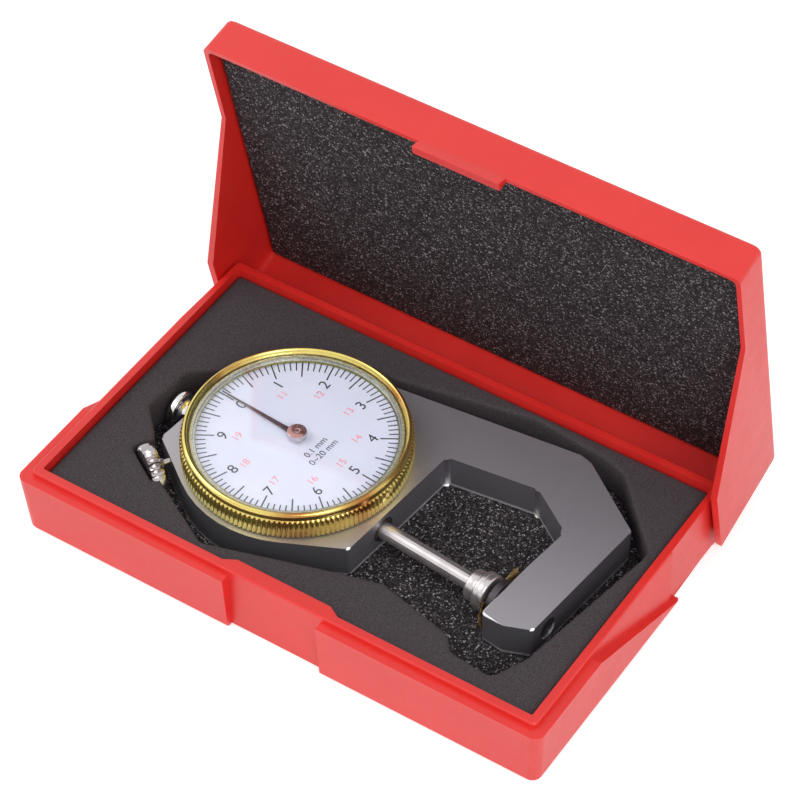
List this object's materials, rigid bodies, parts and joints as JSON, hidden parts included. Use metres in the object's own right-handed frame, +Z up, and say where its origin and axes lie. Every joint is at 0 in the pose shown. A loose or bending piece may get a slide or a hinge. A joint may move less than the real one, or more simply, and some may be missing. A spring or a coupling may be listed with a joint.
{
  "type": "dial thickness gauge in case",
  "caption": "Dial thickness gauge with knurled gilt bezel and C-shaped steel frame, lying in die-cut foam in an open red plastic case with a hinged lid.",
  "frame": {"origin": "centre of the tray's flat underside, between the lip's sides", "axes": "+X along the case from the dust cap's end to the jaw end, +Y to the hinge at the back, +Z up from the surface that the case stands on"},
  "size_m": [0.1348, 0.1025, 0.0872],
  "materials": {
    "red_plastic": "satin moulded, red",
    "coarse_foam": "open-cell foam, black with bright specks",
    "smooth_foam": "closed-cell foam sheet, matte dark grey",
    "satin_steel": "ground steel plate, satin, darkened edges",
    "polished_steel": "polished steel",
    "chrome_parts": "bright chrome",
    "brass_parts": "turned brass",
    "gilt_brass": "polished gilt brass, fine straight knurl",
    "dial_enamel": "bluish white, semi-matte",
    "crystal_glass": "clear",
    "pointer_lacquer": "dark brown lacquer",
    "copper_hub": "polished copper colour",
    "oiled_paper": "brown oiled paper",
    "spring_steel": "blued spring steel"
  },
  "bodies": {
    "root": {"case_base": "red_plastic", "foam_floor": "coarse_foam", "foam_sheet": "smooth_foam"},
    "lid": {"case_lid": "red_plastic", "foam_lid_pad": "coarse_foam"},
    "gauge": {"frame_plate": "satin_steel", "dust_cap": "chrome_parts", "guide_bush": "brass_parts", "guide_block": "brass_parts", "bridge_plate": "brass_parts", "bridge_pillar_1": "brass_parts", "bridge_pillar_2": "brass_parts", "bridge_pillar_3": "brass_parts", "bridge_screw_1": "polished_steel", "bridge_screw_2": "polished_steel", "bridge_screw_3": "polished_steel", "spring_post": "polished_steel", "return_spring": "spring_steel", "anvil": "polished_steel", "jaw_paper": "oiled_paper"},
    "spindle": {"spindle_rack": "polished_steel", "contact_disc": "polished_steel"},
    "centre": {"centre_arbor": "polished_steel", "pointer": "pointer_lacquer", "pointer_hub": "copper_hub"},
    "take_up": {"take_up_wheel": "brass_parts"},
    "rim": {"bezel": "gilt_brass", "dial": "dial_enamel", "dial_ring": "chrome_parts", "crystal": "crystal_glass"},
    "clamp": {"clamp_screw": "chrome_parts"}
  },
  "joints": [
    {"name": "lid_hinge", "type": "hinge", "parent": "root", "child": "lid", "pos_m": [0, 0.0393, 0.0044], "axis": [-1, 0, 0], "range_deg": [-77.67, 0]},
    {"name": "gauge_lift", "type": "slide", "parent": "root", "child": "gauge", "axis": [0, 0, 1], "range_m": [0, 0.05]},
    {"name": "spindle_slide", "type": "slide", "parent": "gauge", "child": "spindle", "axis": [-0.9956, 0.0941, 0], "range_m": [0, 0.02], "stiffness_N_per_m": 20, "springref_m": -0.02},
    {"name": "centre_turn", "type": "hinge", "parent": "gauge", "child": "centre", "pos_m": [-0.0205, -0.0006, 0.01045], "axis": [0, 0, -1], "range_deg": [-10, 730]},
    {"name": "take_up_turn", "type": "hinge", "parent": "gauge", "child": "take_up", "pos_m": [-0.01975, 0.00732, 0.01045], "axis": [0, 0, 1], "range_deg": [-5, 185]},
    {"name": "bezel_turn", "type": "hinge", "parent": "gauge", "child": "rim", "pos_m": [-0.0205, -0.0006, 0.0176], "axis": [0, 0, 1], "continuous": true},
    {"name": "clamp_screw_turn", "type": "hinge", "parent": "gauge", "child": "clamp", "pos_m": [-0.04564, -0.02113, 0.0134], "axis": [-0.521, -0.8536, 0], "range_deg": [-300, 360]}
  ],
  "couplings": [
    {"joint": "centre_turn", "follows": "spindle_slide", "rad_per_m": 628.32},
    {"joint": "take_up_turn", "follows": "spindle_slide", "rad_per_m": 157.08}
  ]
}
